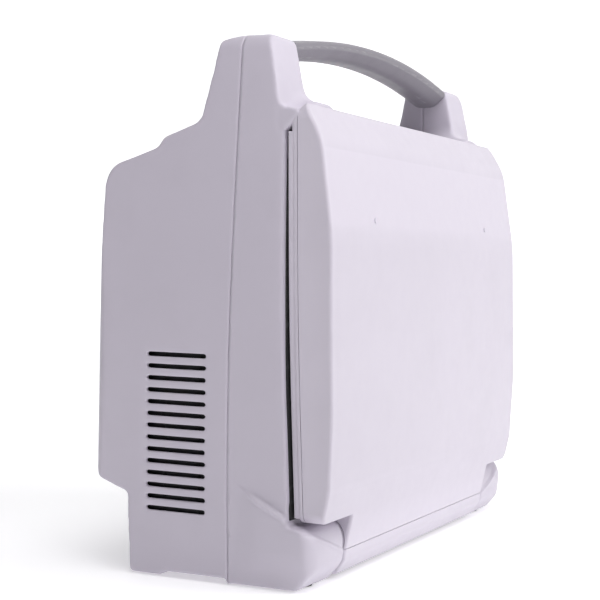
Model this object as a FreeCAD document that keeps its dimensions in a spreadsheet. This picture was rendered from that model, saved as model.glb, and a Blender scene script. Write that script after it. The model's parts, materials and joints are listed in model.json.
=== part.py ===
"""Portable patient monitor with a fold-down control panel closed over its display. Millimetres, +Z up.

The origin is the centre of the footprint on the table. +X is the user's right and +Y is the back.
"""
import FreeCAD
import Part
import math
import os
from FreeCAD import Rotation, Vector

DIMS = {
    # housing
    "half_width": 165.0, "foot_half_width": 161.3, "height": 300.0,
    "wall": 2.6, "split_y": -13.2, "seam_gap": 0.4, "front_y": -63.2, "rear_y": 73.0,
    "base_z": 0.8, "plinth_z": 4.2, "plinth_half": 152.0, "recess_z": 3.0,
    "saddle_z": 262.0, "pillar_inner": 121.8,
    # hinge of the control panel
    "axis_y": -50.5, "axis_z": 22.5, "barrel_r": 12.7, "knuckle_half": 118.6, "trough_r": 22.9,
    "pin_r": 4.0, "pin_gap": 0.06, "lean": 2.3,
    # control panel
    "panel_inner": -2.9, "panel_split": -6.8, "skin": 2.4, "edge_r": 2.0, "seam": 0.35,
    "pip_r": 1.6, "pip_x": 97.0, "pip_z": 200.4,
    # display
    "bezel_half": 138.0, "bezel_low": 54.0, "bezel_high": 238.0, "recess": 12.0,
    "screen_half": 124.0, "screen_low": 58.0, "screen_high": 233.0,
    # handle
    "grip_rise": 11.4, "grip_deep": 29.0, "grip_tall": 12.0, "grip_y": -14.5, "grip_end_z": 292.6,
    # vents
    "slot_count": 14, "slot_pitch": 6.59, "slot_low": 37.1, "slot_tall": 2.5, "slot_y": 0.8,
    "slot_long": 37.5,
    # keys
    "key_wide": 24.0, "key_tall": 15.0, "key_rise": 2.2, "key_gap": 0.4,
    "knob_r": 17.0, "knob_rise": 9.0, "dial_x": 92.0, "dial_v": 110.0,
}

doc = FreeCAD.newDocument("patient_monitor")
sheet = doc.addObject("Spreadsheet::Sheet", "dims")
for row, (alias, number) in enumerate(DIMS.items(), start=1):
    sheet.set("A%d" % row, str(number))
    sheet.setAlias("A%d" % row, alias)
doc.recompute()

NODES = []
LEAN = Rotation(Vector(1, 0, 0), -DIMS["lean"])
AXIS = Vector(0, DIMS["axis_y"], DIMS["axis_z"])


def size(alias):
    """The value of a driving dimension, read from the sheet."""
    return float(sheet.get(alias))


def node(thing, label):
    """Marks a finished object as one sub-part."""
    thing.Label = label
    NODES.append(thing)
    return thing


def terms(rule):
    """Adds the sheet's name in front of every alias in an expression."""
    text = str(rule)
    for alias in sorted(DIMS, key=len, reverse=True):
        text = text.replace(alias, "<%d>" % list(DIMS).index(alias))
    for place, alias in enumerate(DIMS):
        text = text.replace("<%d>" % place, "dims." + alias)
    return text


def box(name, x, y, z):
    """A box from pairs (low, high) of numbers or expressions."""
    thing = doc.addObject("Part::Box", name)
    for side, place, (low, high) in (("Length", "x", x), ("Width", "y", y), ("Height", "z", z)):
        low, high = terms(low), terms(high)
        thing.setExpression(side, "(%s) - (%s)" % (high, low))
        thing.setExpression("Placement.Base." + place, low)
    return thing


def rod(name, radius, length, start, along="x"):
    """A cylinder from start, a triple of numbers or expressions, along an axis."""
    thing = doc.addObject("Part::Cylinder", name)
    turn = {"x": Rotation(Vector(0, 1, 0), 90), "y": Rotation(Vector(1, 0, 0), -90), "z": Rotation()}
    thing.Placement = FreeCAD.Placement(Vector(), turn[along])
    thing.setExpression("Radius", terms(radius))
    thing.setExpression("Height", terms(length))
    for place, rule in zip("xyz", start):
        thing.setExpression("Placement.Base." + place, terms(rule))
    return thing


def joined(name, things):
    """One fused object, or the object itself when there is only one."""
    thing = doc.addObject("Part::MultiFuse", name)
    thing.Shapes = things
    return thing


def group(name, things):
    """Separate solids kept together as one sub-part."""
    thing = doc.addObject("Part::Compound", name)
    thing.Links = things
    return thing


def common(name, things):
    thing = doc.addObject("Part::MultiCommon", name)
    thing.Shapes = things
    return thing


def cut(name, base, *tools):
    """base minus every tool."""
    tool = tools[0] if len(tools) == 1 else joined(name + "_tools", list(tools))
    thing = doc.addObject("Part::Cut", name)
    thing.Base = base
    thing.Tool = tool
    return thing


def softened(name, base, alias):
    """The base with every sharp edge rounded by the radius of that alias."""
    doc.recompute()
    edges = []
    for i, edge in enumerate(base.Shape.Edges, start=1):
        faces = base.Shape.ancestorsOfType(edge, Part.Face)
        middle = edge.valueAt((edge.FirstParameter + edge.LastParameter) / 2)
        normals = [face.normalAt(*face.Surface.parameter(middle)) for face in faces]
        if len(normals) == 2 and math.degrees(normals[0].getAngle(normals[1])) > 25:
            edges.append((i, size(alias), size(alias)))
    thing = doc.addObject("Part::Fillet", name)
    thing.Base = base
    thing.Edges = edges
    return thing


def leaned(name, thing):
    """A copy of an object turned back with the display about the hinge axis."""
    copy = doc.addObject("Part::Compound", name)
    copy.Links = [thing]
    copy.Placement = FreeCAD.Placement(Vector(), LEAN, AXIS)
    return copy


def outline(points, plane):
    """A closed wire through corners (a, b, radius), each rounded by an arc of its radius."""
    to_space = {"yz": lambda p: Vector(0, p[0], p[1]), "xz": lambda p: Vector(p[0], 0, p[1]),
                "xy": lambda p: Vector(p[0], p[1], 0)}[plane]
    count = len(points)
    stops = []
    for i, (a, b, radius) in enumerate(points):
        here = Vector(a, b, 0)
        back = Vector(points[i - 1][0], points[i - 1][1], 0) - here
        ahead = Vector(points[(i + 1) % count][0], points[(i + 1) % count][1], 0) - here
        back.normalize()
        ahead.normalize()
        half = back.getAngle(ahead) / 2
        if radius == 0 or half > math.pi / 2 - 0.001:
            stops.append((here, None, here))
            continue
        reach = radius / math.tan(half)
        middle = (back + ahead).normalize() * (radius / math.sin(half) - radius)
        stops.append((here + back * reach, here + middle, here + ahead * reach))
    edges = []
    for i, (enter, middle, leave) in enumerate(stops):
        if middle is not None:
            edges.append(Part.Arc(to_space(enter), to_space(middle), to_space(leave)).toShape())
        following = stops[(i + 1) % count][0]
        if (following - leave).Length > 0.001:
            edges.append(Part.LineSegment(to_space(leave), to_space(following)).toShape())
    return Part.Wire(edges)


def plate(name, wire, direction, low, high, inset=0.0):
    """A flat outline, moved inward by inset, drawn out along a direction between low and high."""
    profile = doc.addObject("Part::Feature", name + "_outline")
    face = Part.Face(wire)
    profile.Shape = face.makeOffset2D(-inset) if inset else face
    thing = doc.addObject("Part::Extrusion", name)
    thing.Base = profile
    thing.DirMode = "Custom"
    thing.Dir = direction
    thing.Solid = True
    thing.setExpression("LengthFwd", terms(high))
    thing.setExpression("LengthRev", "-(%s)" % terms(low))
    return thing


def lean_y(depth, z):
    """Where a plane that leans with the display, depth behind the hinge axis, stands at height z."""
    slope = math.radians(size("lean"))
    return size("axis_y") + depth / math.cos(slope) + (z - size("axis_z")) * math.tan(slope)


def mirrored(half):
    """A full outline from its corners on the +X side, listed from the bottom up."""
    return half + [(-x, other, radius) for x, other, radius in reversed(half)]


X, Y, Z = Vector(1, 0, 0), Vector(0, 1, 0), Vector(0, 0, 1)
TOP, BASE = size("height"), size("base_z")


# ---------------------------------------------------------------- housing
def housing_side():
    """The housing seen from its side: barrel, leaning front, brow, pillar, hump and undercut back."""
    front, rear = size("front_y"), size("rear_y")
    brow = lean_y(0.6, 251.0)
    return outline([
        (-54.3, BASE, 1), (front, 11.5, 5), (front, 35.2, 12.6), (lean_y(0.6, 35.2), 35.2, 1),
        (brow, 251.0, 8), (-49.6, 261.2, 0.8), (-48.6, 264.0, 2), (-36.5, 266.0, 8), (-29.4, TOP, 4),
        (-9.0, TOP, 40), (1.4, 296.8, 2), (3.8, 283.0, 60), (11.0, 252.6, 8), (33.8, 244.4, 6),
        (37.0, 238.8, 6),
        (70.2, 227.7, 14), (rear, 107.0, 600), (rear - 0.8, 53.6, 6), (50.6, 45.6, 3), (50.2, BASE, 1.5),
    ], "yz")


def housing_front():
    """The housing seen from the front: bowed sides and two pillars over the saddle."""
    inner, saddle = size("pillar_inner"), size("saddle_z")
    return outline(mirrored([
        (size("foot_half_width"), 0, 0), (168.4, 112.0, 1400), (155.2, TOP, 10), (inner, TOP, 2.5),
        (inner, saddle, 13),
    ]), "xz")


def housing_plan():
    """The housing seen from above, with its rounded cheeks and rear corners."""
    wide = size("half_width") + 0.6
    return outline([(-wide, size("front_y"), 13), (wide, size("front_y"), 13),
                    (wide, size("rear_y"), 9), (-wide, size("rear_y"), 9)], "xy")


def housing_form(name, inset):
    """The housing as one solid, moved inward by inset on every side."""
    side = plate(name + "_side", housing_side(), X, -180, 180, inset)
    front = plate(name + "_front", housing_front(), Y, -90, 90, inset)
    plan = plate(name + "_plan", housing_plan(), Z, -10, 320, inset)
    return common(name, [side, front, plan])


def make_housing():
    """Front and rear shells, with the hinge trough, plinth, display opening, vents and sockets."""
    trough = rod("trough", "trough_r", "2 * (knuckle_half + 0.3)",
                 ("-knuckle_half - 0.3", "axis_y", "axis_z"))
    trough_wall = rod("trough_wall", "trough_r + wall", "2 * (knuckle_half + 0.3 + wall)",
                      ("-knuckle_half - 0.3 - wall", "axis_y", "axis_z"))
    middle_recess = box("middle_recess", ("-plinth_half", "plinth_half"), (-40, 29), (-1, "plinth_z"))
    side_recess = box("side_recess", (-170, 170), (-12, 29), (-1, "recess_z"))
    plinth = joined("plinth", [middle_recess, side_recess])
    plinth_wall = box("plinth_wall", (-170, 170), ("-40 - wall", "29 + wall"), (-1, "plinth_z + wall"))
    bezel = leaned("bezel_opening", box("bezel_hole", ("-bezel_half - 0.2", "bezel_half + 0.2"),
                                        ("axis_y - 3", "axis_y + 6"),
                                        ("bezel_low - 0.2", "bezel_high + 0.2")))
    outer = cut("outer_form", housing_form("housing_form", 0.0), trough, plinth)
    inner = cut("inner_form", housing_form("housing_void", size("wall")), trough_wall, plinth_wall)
    shell = cut("housing_shell", outer, inner)
    pins = [rod("pin_hole_%s" % side, "pin_r + 0.01", 30, (start, "axis_y", "axis_z"))
            for side, start in (("left", -145), ("right", 115))]
    grip_holes = [rod("grip_hole_%s" % side, 2.6, 10, (start, "grip_y", "grip_end_z"))
                  for side, start in (("left", -126), ("right", 116))]
    front_cuts = [bezel] + pins + grip_holes + [foot_hole(x, -47.2, "front") for x in (-140, 140)]
    rear_cuts = vent_slots() + rear_holes() + lead_holes() + grip_holes
    rear_cuts += [foot_hole(x, 39.5, "rear") for x in (-140, 140)]
    front_half = box("front_half", (-180, 180), (-90, "split_y"), (-5, 320))
    rear_half = box("rear_half", (-180, 180), ("split_y + seam_gap", 90), (-5, 320))
    bosses = [rod("boss_%d" % i, 5, "rear_y - wall - 1 - split_y", (x, "split_y", z), "y")
              for i, (x, z) in enumerate(screw_places())]
    bosses += [boss_rib("rear_rib_%d" % i, x, z, ("split_y", "rear_y"))
               for i, (x, z) in enumerate(screw_places())]
    front_boss = [rod("front_boss_%d" % i, 5, 14, (x, "split_y - 14", z), "y")
                  for i, (x, z) in enumerate(screw_places())]
    front_boss += [boss_rib("front_rib_%d" % i, x, z, ("split_y - 14", "split_y"))
                   for i, (x, z) in enumerate(screw_places())]
    boss_bores = [rod("boss_bore_%d" % i, 1.7, 120, (x, -26, z), "y")
                  for i, (x, z) in enumerate(screw_places())]
    head_bores = [rod("head_bore_%d" % i, 3.3, 90, (x, "split_y + 9", z), "y")
                  for i, (x, z) in enumerate(screw_places())]
    front_shell = common("front_shell", [shell, front_half])
    rear_shell = common("rear_shell", [shell, rear_half])
    front_bosses = common("front_bosses", [joined("front_posts", front_boss), inner])
    rear_bosses = common("rear_bosses", [joined("rear_posts", bosses), inner, rear_half])
    front_body = joined("front_body", [front_shell, front_bosses])
    rear_body = joined("rear_body", [rear_shell, rear_bosses])
    front = cut("front_housing_solid", front_body, *(front_cuts + boss_bores))
    node(front, "front_housing")
    rear = cut("rear_housing_solid", rear_body, *(rear_cuts + boss_bores + head_bores))
    node(rear, "rear_housing")
    screws = []
    for i, (x, z) in enumerate(screw_places()):
        shank = rod("screw_shank_%d" % i, 1.65, 30, (x, -21.2, z), "y")
        head = rod("screw_head_%d" % i, 3.0, 3, (x, 8.8 - 0.01, z), "y")
        screws.append(joined("housing_screw_%d" % i, [shank, head]))
    node(group("housing_screws_group", screws), "housing_screws")


def boss_rib(name, x, z, y):
    """A flat web that ties one screw boss to the side wall."""
    outward = (x, x + 30) if x > 0 else (x - 30, x)
    return box(name, outward, y, (z - 1, z + 1))


def screw_places():
    """Where the four long screws run from the rear shell into the front shell's bosses."""
    return [(-146.0, 24.0), (146.0, 24.0), (-146.0, 214.0), (146.0, 214.0)]


def foot_hole(x, y, name):
    """The blind seat of one foot pad, as a short hole through the plinth."""
    return rod("foot_seat_%s_%d" % (name, x > 0), 6.05, 6, (x, y, -1), "z")


def vent_slots():
    """Round-ended slots through the left wall, evenly spaced upwards."""
    slots = []
    for i in range(int(size("slot_count"))):
        low = "slot_low + %d * slot_pitch" % i
        slots.append(box("slot_%d" % i, (-170, -155), ("slot_y + slot_tall / 2",
                     "slot_y + slot_long - slot_tall / 2"), (low, low + " + slot_tall")))
        for end, place in (("front", "slot_y + slot_tall / 2"),
                           ("back", "slot_y + slot_long - slot_tall / 2")):
            slots.append(rod("slot_%d_%s" % (i, end), "slot_tall / 2", 15,
                             (-170, place, low + " + slot_tall / 2")))
    return slots


def rear_holes():
    """Openings in the low rear wall for the mains inlet, mains switch and earth stud."""
    inlet = box("inlet_hole", (-102, -70), (40, 60), (12, 36))
    switch = box("switch_hole", (-60, -44), (40, 60), (12, 36))
    stud = rod("stud_hole", 3.0, 20, (-28, 40, 24), "y")
    exhaust = [box("exhaust_%d" % i, (-60, 60), (60, 90), (96 + 9 * i, 100 + 9 * i)) for i in range(9)]
    return [inlet, switch, stud] + exhaust


LEAD_PLACES = [(z, 18.0) for z in (84.0, 112.0, 140.0, 168.0)]


def lead_holes():
    """The opening in the right wall that takes the lead connector panel."""
    return [box("lead_hole", (150, 175), (2, 34), (68, 184))]


def make_feet():
    pads = [rod("foot_pad_%d" % i, 6, 3.4, (x, y, 0), "z")
            for i, (x, y) in enumerate([(-140, -47.2), (140, -47.2), (-140, 39.5), (140, 39.5)])]
    node(group("feet", pads), "foot_pads")


# ---------------------------------------------------------------- handle
def make_handle():
    """An arched grip between the pillars, held by a screw at each end."""
    inner, rise = size("pillar_inner"), size("grip_rise")
    reach = (inner ** 2 + rise ** 2) / (2 * rise)
    deep, tall, top = size("grip_deep") / 2, size("grip_tall"), TOP + rise
    section = doc.addObject("Part::Feature", "grip_section")
    y = size("grip_y")
    section.Shape = Part.Face(outline([
        (y - deep, top - 1.2, 1.6), (y, top, 60), (y + deep, top - 1.2, 1.6), (y + deep, top - 5.0, 3.0),
        (y + deep * 0.45, top - tall, 9.0), (y - deep * 0.45, top - tall, 9.0), (y - deep, top - 5.0, 3.0),
    ], "yz"))
    half = math.degrees(math.asin((inner - 0.15) / (reach - tall / 2)))
    arch = doc.addObject("Part::Revolution", "grip_arch")
    arch.Source = section
    arch.Axis = Y
    arch.Base = Vector(0, 0, top - reach)
    arch.Angle = 2 * half + 2
    arch.Symmetric = True
    arch.Solid = True
    between = box("grip_between", ("-pillar_inner + 0.12", "pillar_inner - 0.12"), (-60, 30), (250, 330))
    trimmed = common("grip_trimmed", [arch, between])
    bores = [rod("grip_bore_%s" % side, 2.01, 14, (start, "grip_y", "grip_end_z"))
             for side, start in (("left", -122), ("right", 108))]
    node(cut("grip_bored", trimmed, *bores), "handle_grip")
    screws = []
    for side, flip in (("left", -1), ("right", 1)):
        start = -125.0 if flip < 0 else 110.5
        head = -127.9 if flip < 0 else 124.9
        shank = rod("handle_shank_" + side, 2.0, 14.5, (start, "grip_y", "grip_end_z"))
        cap = rod("handle_cap_" + side, 4.2, 3, (head, "grip_y", "grip_end_z"))
        screws.append(joined("handle_screw_" + side, [shank, cap]))
    node(group("handle_screw_group", screws), "handle_screws")


# ---------------------------------------------------------------- control panel
def panel_side():
    """The closed control panel seen from its side, with the heel that wraps the hinge."""
    face = size("panel_inner")
    return outline([
        (-51.0, 262.6, 1.5), (-62.5, 243.0, 34), (-70.4, 190.0, 150), (-72.9, 95.0, 140), (-71.4, 54.0, 30),
        (-63.8, 17.3, 0), (-63.2, 11.2, 5), (-57.6, 2.3, 2), (-54.5, 2.3, 2), (-50.5, 11.0, 3),
        (lean_y(face, 24.0), 28.0, 2), (lean_y(face, 252.0), 252.0, 9),
    ], "yz")


def panel_front():
    """The closed control panel seen from the front, stepped in above the hinge barrels."""
    neck = size("knuckle_half") - 0.3
    return outline(mirrored([
        (neck, -5.0, 0), (neck, 36.8, 1.2), (158.6, 36.8, 6), (161.3, 140.0, 1500), (157.3, 263.0, 11),
    ]), "xz")


def panel_form(name, inset):
    side = plate(name + "_side", panel_side(), X, -170, 170, inset)
    front = plate(name + "_front", panel_front(), Y, -90, 0, inset)
    return common(name, [side, front])


def zone(name, corners):
    """A block across the whole panel, from its outline seen from the side."""
    return plate(name, outline([(y, z, 0) for y, z in corners], "yz"), X, -175, 175)


def make_panel():
    """The outer cover and the inner shell, split along a plane that leans with the display."""
    split, seam = size("panel_split"), size("seam")
    low = 17.4
    outer_zone = zone("outer_zone", [(-90, low), (lean_y(split, low), low),
                                     (lean_y(split, 270), 270), (-90, 270)])
    gap_low = low - seam
    inner_zone = zone("inner_zone", [
        (-90, -5), (-90, gap_low), (lean_y(split + seam, gap_low), gap_low),
        (lean_y(split + seam, 270), 270), (-20, 270), (-20, -5)])
    full = softened("panel_soft", panel_form("panel_form", 0.0), "edge_r")
    void = panel_form("panel_void", size("skin"))
    knuckle = rod("knuckle", "barrel_r - 0.4", "2 * (knuckle_half - 0.3)",
                  ("-knuckle_half + 0.3", "axis_y", "axis_z"))
    knuckle_bore = rod("knuckle_bore", "barrel_r - 0.4 - skin", "2 * (knuckle_half - 14)",
                       ("-knuckle_half + 14", "axis_y", "axis_z"))
    pin_bores = [rod("pin_bore_" + side, "pin_r + pin_gap", 30, (start, "axis_y", "axis_z"))
                 for side, start in (("left", -130), ("right", 100))]
    knuckle_room = rod("knuckle_room", "barrel_r", "2 * knuckle_half", ("-knuckle_half", "axis_y", "axis_z"))
    cover = common("cover_shell", [cut("panel_shell_a", full, void, knuckle_room), outer_zone])
    posts = [rod("cover_post_%d" % i, 3.6, 40, (x, -70, z), "y") for i, (x, z) in enumerate(panel_screws())]
    behind = zone("behind_split", [(lean_y(split - 1, -5), -5), (lean_y(split - 1, 270), 270),
                                   (0, 270), (0, -5)])
    trimmed_posts = common("cover_post_trim", [joined("all_cover_posts", posts), void, outer_zone])
    cover_posts = cut("cover_posts", trimmed_posts, behind)
    post_bores = [rod("post_bore_%d" % i, 1.2, 14, (x, "%f" % (lean_y(split, z) - 9), z), "y")
                  for i, (x, z) in enumerate(panel_screws())]
    pips = [rod("pip_%d" % i, "pip_r", 6, (x, -69.6, "pip_z"), "y")
            for i, x in enumerate(("-pip_x", "pip_x"))]
    pip_seats = [rod("pip_seat_%d" % i, "pip_r + 0.02", 10, (x, -72, "pip_z"), "y")
                 for i, x in enumerate(("-pip_x", "pip_x"))]
    cover_body = joined("cover_body", [cover, cover_posts])
    node(cut("cover_solid", cover_body, *(post_bores + pip_seats)), "panel_cover")
    node(group("pip_group", pips), "cover_pips")
    inner_shell = common("inner_shell", [cut("panel_shell_b", full, void), inner_zone])
    knuckle_shell = cut("knuckle_shell", knuckle, knuckle_bore)
    inner_body = cut("inner_body", joined("inner_joined", [inner_shell, knuckle_shell]), knuckle_bore)
    holes = [leaned(name + "_hole", box(name + "_hole_box", *span))
             for name, span in key_spans(size("key_gap"))]
    dial = leaned("dial_hole", rod("dial_hole_rod", 4.3, 12,
                                   ("dial_x", "axis_y - 10", "dial_v + axis_z"), "y"))
    screw_holes = [rod("panel_screw_hole_%d" % i, 1.6, 30, (x, "%f" % (lean_y(split, z) - 0.5), z), "y")
                   for i, (x, z) in enumerate(panel_screws())]
    node(cut("inner_solid", inner_body, *(holes + [dial] + pin_bores + screw_holes)), "panel_inner_shell")
    screws = []
    for i, (x, z) in enumerate(panel_screws()):
        face = lean_y(size("panel_inner"), z)
        shank = rod("panel_shank_%d" % i, 1.15, 12, (x, "%f" % (face - 11.5), z), "y")
        head = rod("panel_head_%d" % i, 2.6, 1.2, (x, "%f" % (face + 0.15), z), "y")
        screws.append(joined("panel_screw_%d" % i, [shank, head]))
    node(group("panel_screw_group", screws), "panel_screws")


def panel_screws():
    return [(-150.0, 60.0), (150.0, 60.0), (-150.0, 235.0), (150.0, 235.0)]


def key_places():
    """Key name, X, height above the hinge axis and width factor for every key."""
    places = []
    for column in range(5):
        for line in range(2):
            name = "key_%s%d" % ("ab"[line], column + 1)
            places.append((name, -108.0 + 34.0 * column, 96.0 + 26.0 * line, 1.0))
    places.append(("key_freeze", 92.0, 160.0, 1.6))
    places.append(("key_alarm", 92.0, 62.0, 1.6))
    return places


def key_spans(grow):
    """The boxes that keys fill through the panel's inner face, each grown by grow all round."""
    spans = []
    for name, x, up, factor in key_places():
        wide = size("key_wide") * factor / 2 + grow
        tall = size("key_tall") / 2 + grow
        spans.append((name, ((x - wide, x + wide), ("axis_y - 9", "axis_y + 3"),
                             ("axis_z + %f" % (up - tall), "axis_z + %f" % (up + tall)))))
    return spans


def make_keys():
    """Key caps with a flange behind the panel's inner face."""
    for name, x, up, factor in key_places():
        wide, tall = size("key_wide") * factor / 2, size("key_tall") / 2
        cap = box(name + "_cap", (x - wide, x + wide),
                  ("axis_y + panel_inner - skin - 0.8", "axis_y + panel_inner + key_rise"),
                  ("axis_z + %f" % (up - tall), "axis_z + %f" % (up + tall)))
        soft = doc.addObject("Part::Fillet", name + "_soft")
        soft.Base = cap
        doc.recompute()
        back_y = size("axis_y") + size("panel_inner") + size("key_rise")
        rim = [i + 1 for i, e in enumerate(cap.Shape.Edges)
               if all(abs(v.Point.y - back_y) < 0.01 for v in e.Vertexes)]
        soft.Edges = [(i, 0.8, 0.8) for i in rim]
        flange = box(name + "_flange", (x - wide - 1.2, x + wide + 1.2),
                     ("axis_y + panel_inner - skin - 1.1", "axis_y + panel_inner - skin - 0.3"),
                     ("axis_z + %f" % (up - tall - 1.2), "axis_z + %f" % (up + tall + 1.2)))
        node(leaned(name + "_leaned", joined(name + "_body", [soft, flange])), name)


def make_dial():
    """A knurled jog dial on a push shaft, over its encoder."""
    face = "axis_y + panel_inner"
    height = "dial_v + axis_z"
    knob = rod("knob_drum", "knob_r", "knob_rise - 1.2", ("dial_x", face + " + 1.3", height), "y")
    grips = []
    count = 24
    for i in range(count):
        turn = 2 * math.pi * i / count
        x = "dial_x + %f" % (size("knob_r") * math.cos(turn))
        z = "dial_v + axis_z + %f" % (size("knob_r") * math.sin(turn))
        grips.append(rod("knob_groove_%d" % i, 0.9, "knob_rise - 2.4", (x, face + " + 2.5", z), "y"))
    finger = rod("knob_finger", 5.0, 6, ("dial_x + 8.5", face + " + knob_rise - 1.0", height), "y")
    socket = rod("knob_socket", 3.03, 6.2, ("dial_x", face + " + 1.0", height), "y")
    node(leaned("knob_leaned", cut("knob_solid", knob, *(grips + [finger, socket]))), "jog_knob")
    shaft = rod("shaft_rod", 3.0, 12.7, ("dial_x", face + " - 6.6", height), "y")
    node(leaned("shaft_leaned", shaft), "encoder_shaft")
    body = box("encoder_box", ("dial_x - 7", "dial_x + 7"), (face + " - 11.2", face + " - 5.2"),
               (height + " - 7", height + " + 7"))
    bore = rod("encoder_bore", 3.05, 5, ("dial_x", face + " - 9.2", height), "y")
    node(leaned("encoder_leaned", cut("encoder_solid", body, bore)), "encoder_body")


def make_key_board():
    """The circuit board and the silicone dome mat behind the keys."""
    face = "axis_y + panel_inner"
    board = box("board_box", (-136, 136), (face + " - 12.9", face + " - 11.3"), (74, 212))
    node(leaned("board_leaned", board), "key_board")
    mat = box("mat_box", (-134, 70), (face + " - 11.2", face + " - 5.6"), ("axis_z + 84", "axis_z + 134"))
    domes = [box("mat_" + name, (x - 26, x + 26), (face + " - 11.2", face + " - 5.6"),
                 ("axis_z + %f" % (up - 10), "axis_z + %f" % (up + 10)))
             for name, x, up, factor in key_places() if factor > 1]
    node(leaned("mat_leaned", group("mat_group", [mat] + domes)), "dome_mat")


# ---------------------------------------------------------------- hinge
def make_hinge():
    """Steel pins in the housing's barrels that carry the panel's knuckle."""
    pins = [rod("hinge_pin_" + side, "pin_r", 22, (start, "axis_y", "axis_z"))
            for side, start in (("left", "-knuckle_half - 10"), ("right", "knuckle_half - 12"))]
    plates = [box("hinge_plate_" + side, span, (-55.5, -45.5), (17.5, 27.5))
              for side, span in (("left", (-133.0, -128.6)), ("right", (128.6, 133.0)))]
    node(group("hinge_group", [joined("hinge_left", [pins[0], plates[0]]),
                               joined("hinge_right", [pins[1], plates[1]])]), "hinge_pins")


# ---------------------------------------------------------------- display
def make_display():
    """The recessed bezel, its window and the display module behind it."""
    face = "axis_y + 0.6"
    tray = box("tray", ("-bezel_half", "bezel_half"), (face + " - 0.6", face + " + recess + 2.2"),
               ("bezel_low", "bezel_high"))
    hollow = box("tray_hollow", ("-bezel_half + 2.2", "bezel_half - 2.2"),
                 (face + " - 2", face + " + recess"),
                 ("bezel_low + 2.2", "bezel_high - 2.2"))
    opening = box("tray_opening", ("-screen_half - 0.3", "screen_half + 0.3"), (face, face + " + 30"),
                  ("screen_low - 0.3", "screen_high - 0.3"))
    node(leaned("bezel_leaned", cut("bezel_solid", tray, hollow, opening)), "display_bezel")
    window = box("window", ("-screen_half", "screen_half"),
                 (face + " + recess + 0.4", face + " + recess + 2.1"),
                 ("screen_low", "screen_high - 0.6"))
    node(leaned("window_leaned", window), "screen_window")
    module = box("module", (-129, 129), (face + " + recess + 2.3", face + " + recess + 9.3"), (56, 235))
    node(leaned("module_leaned", module), "display_module")
    frame = box("frame_plate", (-134, 134), (face + " + recess + 9.5", face + " + recess + 11.0"), (52, 238))
    slots = [box("frame_slot_%d" % i, (x - 14, x + 14), (-60, 20), (90, 200))
             for i, x in enumerate((-80, 0, 80))]
    node(leaned("frame_leaned", cut("frame_solid", frame, *slots)), "chassis_plate")


# ---------------------------------------------------------------- inside
def make_inside():
    """Boards, power supply, battery and fan behind the display."""
    node(box("main_board_box", (-118, 118), (-4, -2.2), (92, 236)), "main_board")
    node(box("module_can", (34, 112), (-2.0, 14), (96, 228)), "lead_input_module")
    supply = box("supply_tray", (-112, -8), (-4, 30), (10, 78))
    lid = box("supply_hollow", (-110, -10), (-2, 28), (12, 90))
    block = box("supply_block", (-104, -20), (-1.9, 24), (12, 60))
    node(joined("supply_solid", [cut("supply_case", supply, lid), block]), "power_supply")
    node(box("battery_box", (8, 112), (-4, 40), (8, 66)), "battery_pack")
    shroud = box("fan_box", (-30, 30), (44, 59), (100, 160))
    throat = rod("fan_throat", 28, 20, (0, 42, 130), "y")
    hub = rod("fan_stator", 9, 4, (0, 44, 130), "y")
    axle = rod("fan_axle", 1.5, 11, (0, 46, 130), "y")
    spokes = [box("fan_spoke_0", (-29, 29), (44, 46), (128.5, 131.5)),
              box("fan_spoke_1", (-1.5, 1.5), (44, 46), (101, 159))]
    node(joined("fan_frame_solid", [cut("fan_ring", shroud, throat), hub, axle] + spokes), "fan_frame")
    drum = rod("rotor_drum", 10, 9.5, (0, 48.3, 130), "y")
    bore = rod("rotor_bore", 1.55, 9.0, (0, 48.2, 130), "y")
    blades = []
    for i in range(7):
        blade = box("blade_%d" % i, (8, 26.5), (49, 56.5), (129.2, 130.8))
        turned = doc.addObject("Part::Compound", "blade_turn_%d" % i)
        turned.Links = [blade]
        turned.Placement = FreeCAD.Placement(Vector(), Rotation(Y, 360.0 * i / 7), Vector(0, 0, 130))
        blades.append(turned)
    node(cut("rotor_solid", joined("rotor_body", [drum] + blades), bore), "fan_rotor")
    mesh = box("mesh_sheet", (-158.6, -158.2), (-3, 43), (32, 128))
    bars = [box("mesh_rib_%d" % i, (-159.2, -157.6), (y, y + 1.2), (32, 128))
            for i, y in enumerate((-3, 7.5, 29, 41.8))]
    node(joined("vent_screen_solid", [mesh] + bars), "vent_screen")


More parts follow.
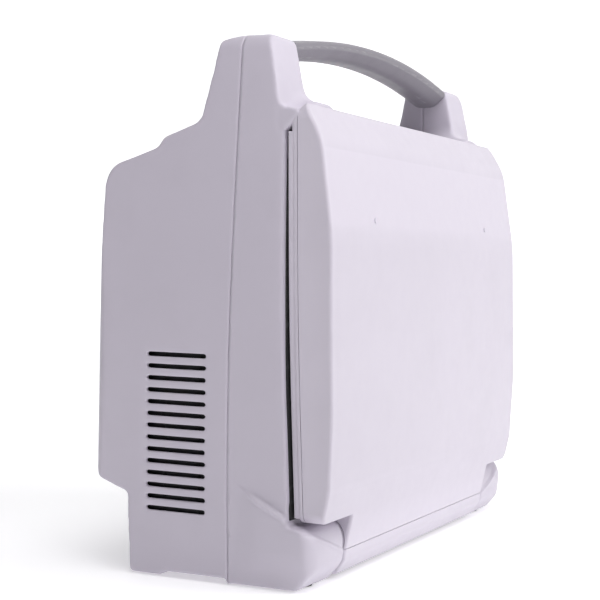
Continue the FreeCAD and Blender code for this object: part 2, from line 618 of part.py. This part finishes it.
# ---------------------------------------------------------------- connectors
def make_connectors():
    """The lead connector panel on the right and the mains parts low on the back."""
    panel = box("lead_plate", (158.9, 162.2), (2.3, 33.7), (68.3, 183.7))
    flange = box("lead_flange", (156.9, 158.9), (-1, 37), (65, 187))
    bores = [rod("lead_bore_%d" % i, 9.05, 12, (154, y, z)) for i, (z, y) in enumerate(LEAD_PLACES)]
    node(cut("lead_panel_solid", joined("lead_panel_body", [panel, flange]), *bores), "lead_panel")
    sockets = []
    for i, (z, y) in enumerate(LEAD_PLACES):
        barrel = rod("socket_barrel_%d" % i, 9.0, 14, (149.5, y, z))
        mouth = rod("socket_mouth_%d" % i, 6.5, 12, (153, y, z))
        core = rod("socket_core_%d" % i, 4.0, 7, (152, y, z))
        sockets.append(joined("socket_%d" % i, [cut("socket_tube_%d" % i, barrel, mouth), core]))
    node(group("socket_group", sockets), "lead_sockets")
    inlet = box("inlet_box", (-101.8, -70.2), (33, 49.6), (12.2, 35.8))
    lip = box("inlet_lip", (-104, -68), (50.7, 52.4), (10.5, 37.5))
    neck = box("inlet_neck", (-101.8, -70.2), (49, 50.9), (12.2, 35.8))
    cavity = box("inlet_cavity", (-98, -74), (36, 60), (15.5, 32.5))
    blades = [box("inlet_blade_%d" % i, (x - 1, x + 1), (34, 46), (z - 2, z + 2))
              for i, (x, z) in enumerate([(-93, 22), (-79, 22), (-86, 27)])]
    body = cut("inlet_hollow", joined("inlet_body", [inlet, lip, neck]), cavity)
    node(joined("inlet_solid", [body] + blades), "mains_inlet")
    case = box("switch_box", (-59.8, -44.2), (36, 51.4), (12.2, 35.8))
    well = box("switch_well", (-58, -46), (40, 60), (14.5, 33.5))
    pivot_hole = rod("switch_pivot_hole", 1.05, 18, (-61, 48.6, 24))
    node(cut("switch_case_solid", case, well, pivot_hole), "switch_frame")
    rocker = doc.addObject("Part::Feature", "rocker_outline")
    rocker.Shape = Part.Face(outline([(46.2, 24, 0), (51.2, 15.6, 1), (53.6, 16.2, 0.6), (51.6, 24, 18),
                                      (50.6, 32.4, 0.6), (48.6, 32.6, 1)], "yz"))
    rocker_solid = doc.addObject("Part::Extrusion", "rocker_solid")
    rocker_solid.Base = rocker
    rocker_solid.DirMode = "Custom"
    rocker_solid.Dir = X
    rocker_solid.LengthFwd = 11.2
    rocker_solid.Solid = True
    rocker_solid.Placement.Base = Vector(-57.6, 0, 0)
    pivot = rod("rocker_pivot", 1.0, 15, (-59.5, 48.6, 24))
    node(joined("rocker_body", [rocker_solid, pivot]), "mains_rocker")
    stem = rod("stud_stem", 2.95, 22, (-28, 38, 24), "y")
    collar = rod("stud_collar", 5.5, 2, (-28, 50.7, 24), "y")
    node(joined("stud_solid", [stem, collar]), "earth_stud")


make_housing()
make_feet()
make_handle()
make_panel()
make_keys()
make_dial()
make_key_board()
make_hinge()
make_display()
make_inside()
make_connectors()
doc.recompute()

for thing in doc.Objects:
    if "Invalid" in thing.State or "Error" in thing.State:
        raise SystemExit("%s (%s) did not build: %s" % (thing.Name, thing.Label, thing.State))
for thing in NODES:
    if thing.Shape.isNull() or not thing.Shape.isValid():
        raise SystemExit(thing.Label + " is not a valid solid")

os.makedirs("parts", exist_ok=True)
for thing in NODES:
    thing.Shape.exportStep(os.path.join("parts", thing.Label + ".step"))
    print("%-20s %2d solids %10.0f mm3" % (thing.Label, len(thing.Shape.Solids), thing.Shape.Volume))
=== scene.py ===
"""Looks of a portable patient monitor: lilac-white shells, a grey grip and a fold-down control panel."""
import json
import math

import bmesh
import bpy
import numpy as np
from mathutils import Matrix, Vector


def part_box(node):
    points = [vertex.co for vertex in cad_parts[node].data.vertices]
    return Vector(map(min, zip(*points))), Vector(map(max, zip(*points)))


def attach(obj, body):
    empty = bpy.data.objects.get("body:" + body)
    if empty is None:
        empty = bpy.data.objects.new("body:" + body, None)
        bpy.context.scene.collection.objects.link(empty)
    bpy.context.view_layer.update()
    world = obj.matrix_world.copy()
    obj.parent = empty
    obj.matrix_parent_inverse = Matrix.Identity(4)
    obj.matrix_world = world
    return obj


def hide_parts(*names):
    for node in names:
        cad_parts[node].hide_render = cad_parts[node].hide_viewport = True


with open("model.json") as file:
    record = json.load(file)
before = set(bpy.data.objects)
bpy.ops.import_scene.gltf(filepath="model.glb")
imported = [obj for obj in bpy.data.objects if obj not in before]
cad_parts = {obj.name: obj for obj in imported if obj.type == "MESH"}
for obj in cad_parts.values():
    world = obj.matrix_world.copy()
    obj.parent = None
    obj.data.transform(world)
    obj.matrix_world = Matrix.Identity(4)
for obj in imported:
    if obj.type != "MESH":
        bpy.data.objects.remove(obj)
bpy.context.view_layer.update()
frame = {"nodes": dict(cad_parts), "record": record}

MM = 0.001
LEAN = math.radians(2.3)  # how far the display's face leans back
HINGE_Y, HINGE_Z = -50.5, 22.5  # the panel's hinge axis, in millimetres
NODES = frame["nodes"]
SLOT_OF = {row["node"]: row["material_slot"] for row in frame["record"]["subparts"]}


# ---------------------------------------------------------------- materials
class Shader:
    """A principled material with a few helpers for its nodes."""

    def __init__(self, name, colour, roughness, metallic=0.0):
        self.material = bpy.data.materials.new(name)
        self.material.use_nodes = True
        self.tree = self.material.node_tree
        self.surface = self.tree.nodes["Principled BSDF"]
        self.set("Base Color", (*colour, 1.0))
        self.set("Roughness", roughness)
        self.set("Metallic", metallic)
        self.place = self.add("ShaderNodeTexCoord").outputs["Object"]

    def add(self, kind, **values):
        node = self.tree.nodes.new(kind)
        for key, value in values.items():
            setattr(node, key, value)
        return node

    def set(self, socket, value):
        self.surface.inputs[socket].default_value = value

    def link(self, source, target):
        self.tree.links.new(source, target)

    def noise(self, scale, detail=3.0, stretch=None):
        """Noise with scale features to the metre, optionally stretched along the axes."""
        node = self.add("ShaderNodeTexNoise")
        node.inputs["Scale"].default_value = scale
        node.inputs["Detail"].default_value = detail
        place = self.place
        if stretch:
            mapping = self.add("ShaderNodeMapping")
            mapping.inputs["Scale"].default_value = stretch
            self.link(place, mapping.inputs["Vector"])
            place = mapping.outputs["Vector"]
        self.link(place, node.inputs["Vector"])
        return node.outputs["Fac"]

    def spread(self, fac, low, high, start=0.3, end=0.7):
        """Maps a factor onto the range from low to high."""
        node = self.add("ShaderNodeMapRange")
        node.inputs["From Min"].default_value = start
        node.inputs["From Max"].default_value = end
        node.inputs["To Min"].default_value = low
        node.inputs["To Max"].default_value = high
        self.link(fac, node.inputs["Value"])
        return node.outputs["Result"]

    def mix(self, fac, first, second):
        """A colour between first and second; either may be a colour or a socket."""
        node = self.add("ShaderNodeMix", data_type="RGBA")
        self.link(fac, node.inputs["Factor"])
        for socket, value in ((node.inputs[6], first), (node.inputs[7], second)):
            if isinstance(value, tuple):
                socket.default_value = (*value, 1.0)
            else:
                self.link(value, socket)
        return node.outputs[2]

    def bump(self, fac, height, below=None):
        """Relief of that height in metres, on top of an earlier bump."""
        node = self.add("ShaderNodeBump")
        node.inputs["Distance"].default_value = height
        node.inputs["Strength"].default_value = 1.0
        self.link(fac, node.inputs["Height"])
        if below is not None:
            self.link(below, node.inputs["Normal"])
        return node.outputs["Normal"]

    def finish(self, colour=None, roughness=None, normal=None):
        for socket, value in (("Base Color", colour), ("Roughness", roughness), ("Normal", normal)):
            if value is not None:
                self.link(value, self.surface.inputs[socket])
        return self.material


def tinted(colour, factor):
    return tuple(min(1.0, c * factor) for c in colour)


def moulded_plastic(name, colour, roughness=0.42, grain=0.00002, edge=1.06):
    """Textured moulding: fine spark-eroded grain, faint flow marks, handling soil and a painted highlight
    that lightens convex edges.
    """
    shader = Shader(name, colour, roughness)
    flow = shader.noise(9.0, 2.0, (1.0, 1.0, 0.35))
    soil = shader.noise(34.0, 6.0)
    tone = shader.mix(shader.spread(flow, 0.0, 1.0), tinted(colour, 0.975), tinted(colour, 1.02))
    tone = shader.mix(shader.spread(soil, 0.0, 0.35, 0.52, 0.74), tone, tinted(colour, 0.93))
    # painted highlight: convex edges, found by pointiness, are lightened in the colour by the factor edge
    edge_highlight = shader.spread(shader.add("ShaderNodeNewGeometry").outputs["Pointiness"], 0.0, 0.8, 0.515, 0.56)
    tone = shader.mix(edge_highlight, tone, tinted(colour, edge))
    fine = shader.noise(2600.0, 2.0)
    ripple = shader.noise(55.0, 1.0)
    rough = shader.spread(shader.noise(120.0, 4.0), roughness - 0.05, roughness + 0.06)
    normal = shader.bump(fine, grain, shader.bump(ripple, 0.00006))
    shader.set("Specular IOR Level", 0.42)
    return shader.finish(tone, rough, normal)


def grip_plastic(name, colour):
    """Soft-touch grip: a denser grain, and a sheen where hands have rubbed it."""
    shader = Shader(name, colour, 0.45)
    rubbed = shader.spread(shader.noise(14.0, 3.0, (0.4, 1.0, 1.0)), 0.0, 1.0, 0.42, 0.62)
    tone = shader.mix(rubbed, tinted(colour, 0.96), tinted(colour, 1.06))
    rough = shader.spread(shader.noise(60.0, 4.0), 0.36, 0.5)
    normal = shader.bump(shader.noise(1900.0, 3.0), 0.00004)
    return shader.finish(tone, rough, normal)


def rubber(name, colour):
    """Matte rubber with a fine pitted skin and dust in the pits."""
    shader = Shader(name, colour, 0.78)
    dust = shader.spread(shader.noise(220.0, 5.0), 0.0, 0.5, 0.5, 0.75)
    tone = shader.mix(dust, colour, tinted(tuple(c + 0.03 for c in colour), 1.6))
    return shader.finish(tone, None, shader.bump(shader.noise(1500.0, 3.0), 0.00005))


def sheet_metal(name, colour, roughness=0.34):
    """Rolled or plated metal: long fine streaks and patches of duller plating."""
    shader = Shader(name, colour, roughness, 1.0)
    streak = shader.noise(700.0, 2.0, (0.04, 1.0, 1.0))
    patch = shader.noise(40.0, 3.0)
    tone = shader.mix(shader.spread(patch, 0.0, 1.0), tinted(colour, 0.86), tinted(colour, 1.05))
    rough = shader.spread(streak, roughness - 0.1, roughness + 0.14)
    return shader.finish(tone, rough, shader.bump(streak, 0.00001))


def circuit_board(name, colour):
    """Solder mask over faint copper traces."""
    shader = Shader(name, colour, 0.3)
    grid = shader.add("ShaderNodeTexBrick")
    grid.inputs["Scale"].default_value = 260.0
    grid.inputs["Mortar Size"].default_value = 0.03
    shader.link(shader.place, grid.inputs["Vector"])
    trace = shader.spread(grid.outputs["Fac"], 0.0, 0.7, 0.0, 1.0)
    tone = shader.mix(trace, colour, tinted(colour, 2.2))
    shader.set("Coat Weight", 0.4)
    return shader.finish(tone, None, shader.bump(grid.outputs["Fac"], 0.00003))


def screen_glass(name, colour):
    """Anti-glare cover glass over a dark panel, with a few wiping marks."""
    shader = Shader(name, colour, 0.16)
    wipe = shader.noise(22.0, 4.0, (0.5, 1.0, 3.0))
    tone = shader.mix(shader.spread(wipe, 0.0, 1.0), colour, tinted(tuple(c + 0.006 for c in colour), 1.25))
    shader.set("Specular IOR Level", 0.6)
    shader.set("Coat Weight", 0.5)
    shader.set("Coat Roughness", 0.06)
    rough = shader.spread(wipe, 0.12, 0.24)
    return shader.finish(tone, rough, shader.bump(shader.noise(3200.0, 2.0), 0.000004))


def polished_plastic(name, colour):
    """Glossy connector plastic with faint moulding swirl."""
    shader = Shader(name, colour, 0.2)
    swirl = shader.noise(90.0, 4.0)
    tone = shader.mix(shader.spread(swirl, 0.0, 1.0), tinted(colour, 0.9), tinted(colour, 1.1))
    return shader.finish(tone, shader.spread(swirl, 0.16, 0.28), shader.bump(swirl, 0.00004))


MATERIALS = {
    "housing": moulded_plastic("housing_plastic", (0.600, 0.560, 0.640)),
    "cover": moulded_plastic("cover_plastic", (0.615, 0.575, 0.650), 0.4),
    "grip": grip_plastic("grip_plastic", (0.235, 0.222, 0.250)),
    "bezel": moulded_plastic("bezel_plastic", (0.055, 0.056, 0.064), 0.5, 0.00003, 1.3),
    "window": screen_glass("screen_glass", (0.006, 0.007, 0.009)),
    "steel": sheet_metal("zinc_steel", (0.56, 0.56, 0.57)),
    "brass": sheet_metal("plated_brass", (0.72, 0.62, 0.38), 0.26),
    "rubber": rubber("foot_rubber", (0.014, 0.014, 0.015)),
    "metal": sheet_metal("inner_sheet", (0.62, 0.63, 0.65), 0.42),
    "board": circuit_board("board_mask", (0.008, 0.075, 0.03)),
    "dark": moulded_plastic("black_plastic", (0.016, 0.016, 0.018), 0.46, 0.00003, 1.5),
    "socket": polished_plastic("socket_plastic", (0.03, 0.10, 0.26)),
    "knob": grip_plastic("knob_plastic", (0.17, 0.165, 0.185)),
    "mat": rubber("silicone_mat", (0.46, 0.44, 0.42)),
    "key": moulded_plastic("key_plastic", (0.36, 0.35, 0.40), 0.5),
    "key_blue": moulded_plastic("key_blue_plastic", (0.035, 0.12, 0.36), 0.48),
    "key_amber": moulded_plastic("key_amber_plastic", (0.62, 0.22, 0.02), 0.48),
}


def dress(obj, slot):
    """Gives an object the material of a record slot."""
    obj.data.materials.clear()
    obj.data.materials.append(MATERIALS[slot])


for name, obj in NODES.items():
    dress(obj, SLOT_OF[name])


# ---------------------------------------------------------------- moulded shells
DRAW = 0.5  # how far each smoothing pass draws a point towards its neighbours
KEPT_FACES = 0.45  # the share of faces left after thinning
SPLIT_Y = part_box("front_housing")[1][1]
REAR_SPLIT_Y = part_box("rear_housing")[0][1]


def ramp(value, start, end):
    """0 before start, 1 after end, smooth between."""
    t = np.clip((value - start) / (end - start), 0.0, 1.0)
    return t * t * (3.0 - 2.0 * t)


def inside(points, low, high, margin):
    """1 inside a box, falling to 0 over a margin outside it."""
    reach = np.ones(len(points))
    for axis in range(3):
        reach *= ramp(points[:, axis], low[axis] - margin, low[axis])
        reach *= 1.0 - ramp(points[:, axis], high[axis], high[axis] + margin)
    return reach


def relaxed(points, edges, passes, weight):
    """Points drawn towards the middle of their neighbours, pass by pass, by their weight."""
    count = len(points)
    first, second = edges[:, 0], edges[:, 1]
    degree = np.bincount(first, minlength=count) + np.bincount(second, minlength=count)
    for _ in range(passes):
        for axis in range(3):
            value = points[:, axis]
            total = np.bincount(first, value[second], count) + np.bincount(second, value[first], count)
            points[:, axis] = value + DRAW * weight * (total / degree - value)
    return points


def remeshed(node, voxel):
    """A CAD node's mesh rebuilt from even faces."""
    source = NODES[node].data.copy()
    work = bmesh.new()
    work.from_mesh(source)
    bmesh.ops.remove_doubles(work, verts=work.verts, dist=1e-6)
    work.to_mesh(source)
    work.free()
    block = bpy.data.objects.new(node + "_block", source)
    bpy.context.scene.collection.objects.link(block)
    voxels = block.modifiers.new("voxels", "REMESH")
    voxels.mode = "VOXEL"
    voxels.voxel_size = voxel
    mesh = bpy.data.meshes.new_from_object(block.evaluated_get(bpy.context.evaluated_depsgraph_get()))
    bpy.data.objects.remove(block)
    return mesh


def moulded(node, body, voxel, split, rounds, swell=None):
    """A CAD shell with the soft edges of a moulding; rounds lists (passes, function giving weights)."""
    mesh = remeshed(node, voxel)
    points = np.empty(len(mesh.vertices) * 3)
    mesh.vertices.foreach_get("co", points)
    points = points.reshape(-1, 3)
    edges = np.empty(len(mesh.edges) * 2, dtype=np.int64)
    mesh.edges.foreach_get("vertices", edges)
    edges = edges.reshape(-1, 2)
    at_split = np.abs(points[:, 1] - split) < 1.05 * voxel
    points[at_split, 1] = split
    for passes, weight in rounds:
        points = relaxed(points, edges, passes, weight(points))
    if swell:
        points = swell(points)
    mesh.vertices.foreach_set("co", points.ravel())
    piece = bpy.data.objects.new(node + "_moulding", mesh)
    bpy.context.scene.collection.objects.link(piece)
    thin = piece.modifiers.new("thin", "DECIMATE")
    thin.ratio = KEPT_FACES
    piece.data = bpy.data.meshes.new_from_object(piece.evaluated_get(bpy.context.evaluated_depsgraph_get()))
    piece.modifiers.clear()
    piece.data.polygons.foreach_set("use_smooth", [True] * len(piece.data.polygons))
    dress(piece, SLOT_OF[node])
    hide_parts(node)
    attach(piece, body)
    return piece


def beside_seam(points):
    """0 on the line where the two shells meet, 1 a little way from it."""
    return ramp(np.abs(points[:, 1] - SPLIT_Y), 1.0 * MM, 3.6 * MM)


def crisp(points, *regions):
    """Weights that leave detailed regions almost as moulded."""
    weight = beside_seam(points)
    for low, high in regions:
        weight *= 1.0 - 0.95 * inside(points, low, high, 2.5 * MM)
    return weight


def region(x, y, z):
    """A box in metres from millimetre ranges."""
    return [axis[0] * MM for axis in (x, y, z)], [axis[1] * MM for axis in (x, y, z)]


def front_weight(points):
    """The trough's rims and the edges beside the panel stay sharp; everything else is softened."""
    weight = crisp(points, region((-136, 136), (-60, -28), (0, 50)))
    for side in ((-170, -152), (152, 170)):
        weight *= 1.0 - 0.85 * inside(points, *region(side, (-53, -46), (40, 250)), 3.0 * MM)
    return weight


def rear_weight(points):
    """Vents, sockets and screw wells stay sharp; everything else is softened."""
    return crisp(points, region((-170, -150), (-3, 42), (31, 128)), region((-64, 64), (55, 80), (92, 176)),
                 region((-108, -18), (40, 56), (6, 42)), region((150, 170), (-3, 39), (64, 188)),
                 region((-151, -141), (30, 80), (18, 30)), region((141, 151), (30, 80), (18, 30)),
                 region((-151, -141), (55, 80), (208, 220)), region((141, 151), (55, 80), (208, 220)))


WING_SIDE, WING_FRONT = 2.2, 1.3  # how proud the wings stand at the sides and on the front, in millimetres
CORNER_X, CORNER_Y, CORNER_R = 147.0, 50.2, 9.0  # the case's front corners, in millimetres
SHOULDER_DROP, RIM_PROUD = 6.0, 0.5  # in millimetres


def cheek_swell(points):
    """A wing on each cheek: it stands proud below a sloping crest and tapers to a tip under the barrel."""
    x, y, z = np.abs(points[:, 0]) / MM, points[:, 1] / MM, points[:, 2] / MM
    side_crest = 0.326 * x + 0.487 * y + 11.3 + 0.007 * np.clip(y + 33.0, 0.0, 20.0) ** 2
    front_crest = 0.35 * x + 0.48 * y + 6.3
    crest = front_crest + (side_crest - front_crest) * ramp(x, 156.0, 162.0)
    keel = 8.7 + 8.0 * (np.clip(160.0 - x, 0.0, 60.0) / 45.0) ** 2
    bead = 0.45 * np.exp(-((crest - z - 1.4) / 1.1) ** 2)
    proud = ramp(crest - z, -0.3, 0.9) * (ramp(z, keel - 3.0, keel + 14.0) + bead)
    corner_x, corner_y = x - CORNER_X, -y - CORNER_Y
    on_side = (x > 149.0) & (corner_y < 0.0)
    turn = np.where(on_side, 0.0, np.arctan2(np.maximum(corner_y, 0.0), np.maximum(corner_x, 0.01)))
    from_corner = np.hypot(np.maximum(corner_x, 0.0), np.maximum(corner_y, 0.0))
    outer = np.where(on_side, x > 150.0, from_corner > CORNER_R)
    proud *= ramp(-y, 17.0, 34.0) * ramp(x, 112.0, 126.0) * outer
    points[:, 0] += np.sign(points[:, 0]) * proud * np.cos(turn) * WING_SIDE * MM
    points[:, 1] -= proud * np.sin(turn) * WING_FRONT * MM
    return points


def front_swell(points):
    """The cheeks' wings, shoulders that fall away outward and a rim that closes in on the panel."""
    x, y, z = np.abs(points[:, 0]) / MM, points[:, 1] / MM, points[:, 2] / MM
    shoulder = ramp(x, 128.0, 156.0) * ramp(-y, 33.0, 38.0)
    shoulder *= ramp(z, 243.0, 256.0) * (1.0 - ramp(z, 266.0, 280.0))
    rim = ramp(x, 150.0, 157.0) * ramp(-y, 46.0, 48.0)
    rim *= ramp(z, 44.0, 50.0) * (1.0 - ramp(z, 238.0, 246.0))
    points[:, 2] -= shoulder * SHOULDER_DROP * MM
    points[:, 1] -= rim * RIM_PROUD * MM
    return cheek_swell(points)


def add_piece(name, mesh, body, slot):
    """A new piece made of a mesh, which moves with a body and wears a slot's material."""
    piece = bpy.data.objects.new(name, mesh)
    bpy.context.scene.collection.objects.link(piece)
    dress(piece, slot)
    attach(piece, body)
    return piece


def half_width(node, height):
    """Half of a node's width at a height, in millimetres, where its edges cross that height."""
    mesh = NODES[node].data
    places = np.array([vertex.co[:] for vertex in mesh.vertices]) / MM
    ends = places[np.array([edge.vertices[:] for edge in mesh.edges])]
    low, high = ends[:, 0], ends[:, 1]
    across = (low[:, 2] - height) * (high[:, 2] - height) < 0.0
    low, high = low[across], high[across]
    share = (height - low[:, 2]) / (high[:, 2] - low[:, 2])
    return float(np.max(low[:, 0] + (high[:, 0] - low[:, 0]) * share))


def side_strip(name, body, slot, places, section):
    """A strip swept up one side, leaning with the display; section gives its corners at a height."""
    work = bmesh.new()
    rows = []
    for z in places:
        face = HINGE_Y + (z - HINGE_Z) * math.tan(LEAN)
        rows.append([work.verts.new((x * MM, (face + depth) * MM, z * MM)) for x, depth in section(z)])
    for lower, upper in zip(rows, rows[1:]):
        for i in range(len(lower)):
            j = (i + 1) % len(lower)
            work.faces.new((lower[i], lower[j], upper[j], upper[i]))
    work.faces.new(rows[0])
    work.faces.new(rows[-1])
    bmesh.ops.recalc_face_normals(work, faces=work.faces)
    mesh = bpy.data.meshes.new(name)
    work.to_mesh(mesh)
    work.free()
    return add_piece(name, mesh, body, slot)


def seal_section(side):
    """A rubber seal inside the rim of the case's face; the wall is an arc that closes in near its top."""
    def section(z):
        above_foot = z - 8.7
        wall = 161.85 + 0.0634 * above_foot - above_foot ** 2 / 2800.0
        wall -= 0.0026 * max(0.0, z - 214.0) ** 1.35
        corners = ((wall - 2.4, 0.8), (wall - 2.8, -0.1), (wall - 10.0, -0.1), (wall - 10.4, 0.8))
        return [(side * x, depth) for x, depth in corners]
    return section


RIM_HEIGHTS = (42.0, 96.0, 118.0, 140.0, 162.0, 184.0, 252.0)
PANEL_EDGE = [half_width("panel_inner_shell", height) for height in RIM_HEIGHTS]


def rim_section(side):
    """A thin rim behind the panel's inner shell, flush with its sides."""
    def section(z):
        edge = float(np.interp(z, RIM_HEIGHTS, PANEL_EDGE))
        outer, chamfer, inner = edge - 0.25, edge - 0.65, edge - 3.4
        corners = ((outer, -5.0), (outer, -1.5), (chamfer, -1.1), (inner, -1.1), (inner, -5.0))
        return [(side * x, depth) for x, depth in corners]
    return section


moulded("front_housing", "monitor", 0.9 * MM, SPLIT_Y, [(12, front_weight)], front_swell)
moulded("rear_housing", "monitor", 0.8 * MM, REAR_SPLIT_Y, [(12, rear_weight)])
for side, direction in (("left", -1), ("right", 1)):
    side_strip(side + "_seal", "monitor", "rubber", np.linspace(38.5, 248.0, 42), seal_section(direction))
    side_strip(side + "_rim", "control_panel", "cover", np.linspace(39.6, 246.0, 42), rim_section(direction))


# ---------------------------------------------------------------- key symbols
def symbol(name, key, sides, body, slot):
    """A thin raised outline printed on a key: a generic shape with that many sides."""
    low, high = (Vector(corner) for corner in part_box(key))
    middle = (low + high) / 2
    work = bmesh.new()
    radius, line, tall = 3.2 * MM, 0.7 * MM, 0.08 * MM
    rings = []
    for depth in (0.0, tall):
        for reach in (radius, radius - line):
            rings.append([work.verts.new((reach * math.sin(2 * math.pi * i / sides), depth,
                                          reach * math.cos(2 * math.pi * i / sides))) for i in range(sides)])
    outer_low, inner_low, outer_high, inner_high = rings
    for i in range(sides):
        j = (i + 1) % sides
        for a, b in ((outer_low, outer_high), (inner_high, inner_low), (outer_high, inner_high),
                     (inner_low, outer_low)):
            work.faces.new((a[i], a[j], b[j], b[i]))
    bmesh.ops.recalc_face_normals(work, faces=work.faces)
    mesh = bpy.data.meshes.new(name)
    work.to_mesh(mesh)
    work.free()
    face = high[1] - math.sin(LEAN) * (high[2] - middle[2])
    place = Matrix.Translation((middle[0], face - 0.02 * MM, middle[2]))
    mesh.transform(place @ Matrix.Rotation(-LEAN, 4, "X"))
    return add_piece(name, mesh, body, slot)


KEYS = [name for name in NODES if name.startswith("key_") and name != "key_board"]
for count, name in enumerate(sorted(KEYS)):
    symbol(name + "_symbol", name, 3 + count % 5 if count % 5 < 4 else 24, name, "cover")


# ---------------------------------------------------------------- camera, floor and light
def look(name, energy, size, place, target, colour=(1.0, 1.0, 1.0)):
    """An area light aimed at a point."""
    data = bpy.data.lights.new(name, "AREA")
    data.energy = energy
    data.shape = "SQUARE"
    data.size = size
    data.color = colour
    light = bpy.data.objects.new(name, data)
    bpy.context.scene.collection.objects.link(light)
    light.location = place
    light.rotation_euler = (Vector(target) - Vector(place)).to_track_quat("-Z", "Y").to_euler()
    return light


def make_camera():
    """A long lens at the left front, above the middle of the case; returns its backward direction."""
    azimuth, pitch, roll = math.radians(-64.56), math.radians(1.54), math.radians(1.12)
    level = math.cos(pitch)
    back = Vector((math.sin(azimuth) * level, -math.cos(azimuth) * level, math.sin(pitch)))
    right = Vector((math.cos(azimuth), math.sin(azimuth), 0.0))
    up = back.cross(right)
    tilted_right = right * math.cos(roll) + up * math.sin(roll)
    tilted_up = up * math.cos(roll) - right * math.sin(roll)
    data = bpy.data.cameras.new("camera")
    data.lens = 87.66
    data.sensor_width = 36.0
    data.clip_start = 0.01
    camera = bpy.data.objects.new("camera", data)
    bpy.context.scene.collection.objects.link(camera)
    turn = Matrix((tilted_right, tilted_up, back)).transposed().to_4x4()
    camera.matrix_world = Matrix.Translation((-0.85937, -0.38539, 0.17708)) @ turn
    bpy.context.scene.camera = camera
    return back


def paper(name, glow, far_glow=None):
    """White studio paper with a glow of its own, which can rise from the object to far well away from it."""
    shader = Shader(name, (0.86, 0.86, 0.87), 0.8)
    shader.set("Emission Color", (1.0, 1.0, 1.0, 1.0))
    shader.set("Emission Strength", glow)
    if far_glow is not None:
        reach = shader.add("ShaderNodeVectorMath", operation="LENGTH")
        shader.link(shader.place, reach.inputs[0])
        rising = shader.spread(reach.outputs["Value"], glow, far_glow, 0.3, 0.9)
        shader.link(rising, shader.surface.inputs["Emission Strength"])
    tone = shader.mix(shader.noise(6.0, 2.0), (0.85, 0.85, 0.86), (0.87, 0.87, 0.88))
    return shader.finish(tone)


def make_stage(back):
    """A pale floor, a card beside the object and a white backdrop square to the camera."""
    bpy.ops.mesh.primitive_plane_add(size=9.0, location=(0.0, 0.0, -0.0002))
    floor = bpy.context.active_object
    floor.name = "floor"
    floor.data.materials.append(paper("floor_paper", 0.34, 0.62))
    bpy.ops.mesh.primitive_plane_add(size=9.0, location=-back * 3.2)
    backdrop = bpy.context.active_object
    backdrop.name = "backdrop"
    backdrop.rotation_euler = back.to_track_quat("Z", "Y").to_euler()
    backdrop.data.materials.append(paper("backdrop_paper", 0.62))
    bpy.ops.mesh.primitive_plane_add(size=1.0, location=(-0.42, -0.2, 0.0001))
    card = bpy.context.active_object
    card.name = "bounce_card"
    card.scale = (0.46, 0.7, 1.0)
    card.data.materials.append(paper("card_paper", 0.34))


def make_light():
    """Three soft square lights and a faint even sky."""
    world = bpy.data.worlds.new("studio")
    world.use_nodes = True
    sky = world.node_tree.nodes["Background"]
    sky.inputs["Color"].default_value = (0.97, 0.965, 1.0, 1.0)
    sky.inputs["Strength"].default_value = 0.04
    bpy.context.scene.world = world
    aim = (0.0, 0.0, 0.15)
    look("key_light", 31.5, 1.4, (0.9, -2.0, 1.3), aim)
    look("side_light", 5.6, 0.7, (-0.75, -0.5, 1.15), aim, (0.985, 0.965, 1.0))
    look("top_light", 13.5, 0.9, (-0.25, -0.25, 1.8), aim)


make_stage(make_camera())
make_light()
bpy.context.scene.view_settings.view_transform = "Standard"
